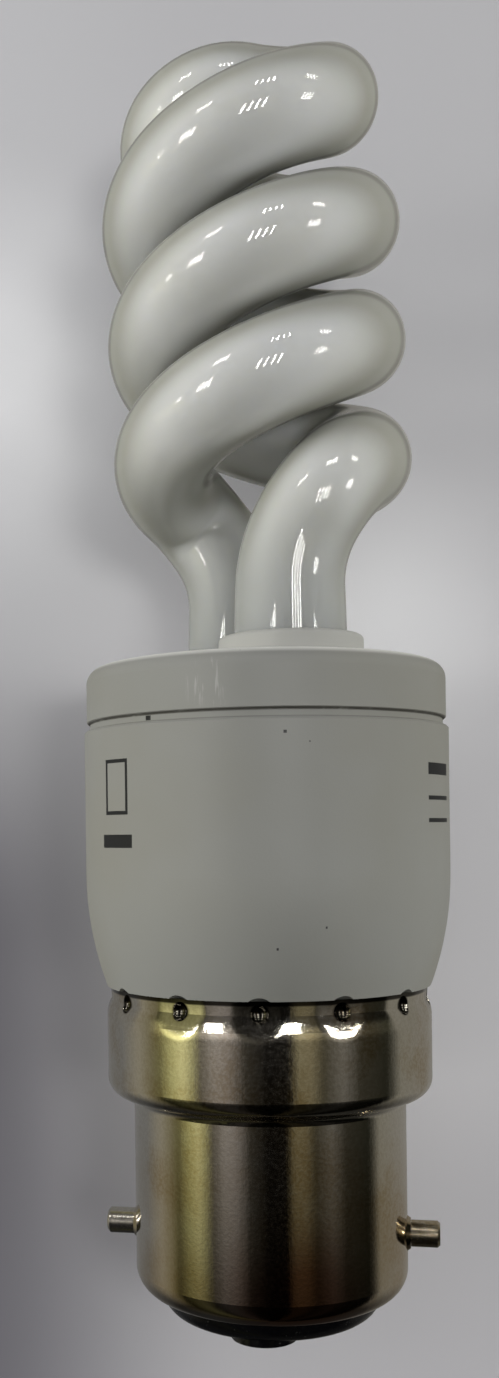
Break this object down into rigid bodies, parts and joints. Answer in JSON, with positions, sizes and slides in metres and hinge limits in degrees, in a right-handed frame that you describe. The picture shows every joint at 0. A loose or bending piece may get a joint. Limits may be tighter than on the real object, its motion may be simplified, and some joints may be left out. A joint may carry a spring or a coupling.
{
  "type": "compact fluorescent lamp",
  "caption": "Spiral energy saving lamp: double-helix glass tube on a round ballast housing with a B22d bayonet cap.",
  "frame": {"origin": "where the common axis of the two bayonet pins crosses the lamp's axis", "axes": "+Z along the lamp's axis from the cap to the tube; +X along the right-hand bayonet pin; +Y away from the side of the picture, through the back contact"},
  "size_m": [0.0294, 0.0294, 0.1035],
  "materials": {
    "nickel_shell": "dull nickel plate on brass, brushed along the lamp",
    "nickel_pins": "nickel plate, slightly rough",
    "black_glass": "glossy opaque black glass",
    "contact_solder": "brass under a skin of soft solder",
    "housing_white": "satin warm white",
    "collar_white": "satin warm white",
    "phosphor_glass": "glossy glass over greenish-white phosphor",
    "lead_wire": "tinned wire",
    "cement": "rough poured cement",
    "board": "bare brown laminate",
    "ferrite": "matt sintered ferrite",
    "bobbin": "matt moulded plastic",
    "copper_winding": "enamelled copper wire",
    "can_sleeve": "shrunk sleeve over an aluminium can",
    "film_dip": "glossy dipped resin",
    "transistor_black": "matt moulded resin",
    "diode_black": "moulded resin",
    "resistor_lacquer": "lacquer over a ceramic rod",
    "fuse_coat": "lacquer over a wound ceramic rod"
  },
  "bodies": {
    "root": {"cap_shell": "nickel_shell", "bayonet_pin_right": "nickel_pins", "bayonet_pin_left": "nickel_pins", "cap_insulator": "black_glass", "contact_front": "contact_solder", "contact_back": "contact_solder", "ballast_housing": "housing_white", "tube_holder": "collar_white", "discharge_tube": "phosphor_glass", "filament_lead_1": "lead_wire", "filament_lead_2": "lead_wire", "filament_lead_3": "lead_wire", "filament_lead_4": "lead_wire", "supply_wire": "lead_wire", "leg_cement": "cement", "circuit_board": "board", "choke_core": "ferrite", "toroid_core": "ferrite", "choke_bobbin": "bobbin", "choke_winding": "copper_winding", "toroid_windings": "copper_winding", "electrolytic_capacitor": "can_sleeve", "film_capacitor": "film_dip", "starting_capacitor": "film_dip", "transistor_1": "transistor_black", "transistor_2": "transistor_black", "rectifier_diode_1": "diode_black", "rectifier_diode_2": "diode_black", "rectifier_diode_3": "diode_black", "rectifier_diode_4": "diode_black", "resistor_1": "resistor_lacquer", "resistor_2": "resistor_lacquer", "resistor_3": "resistor_lacquer", "fuse_resistor": "fuse_coat"}
  },
  "joints": []
}
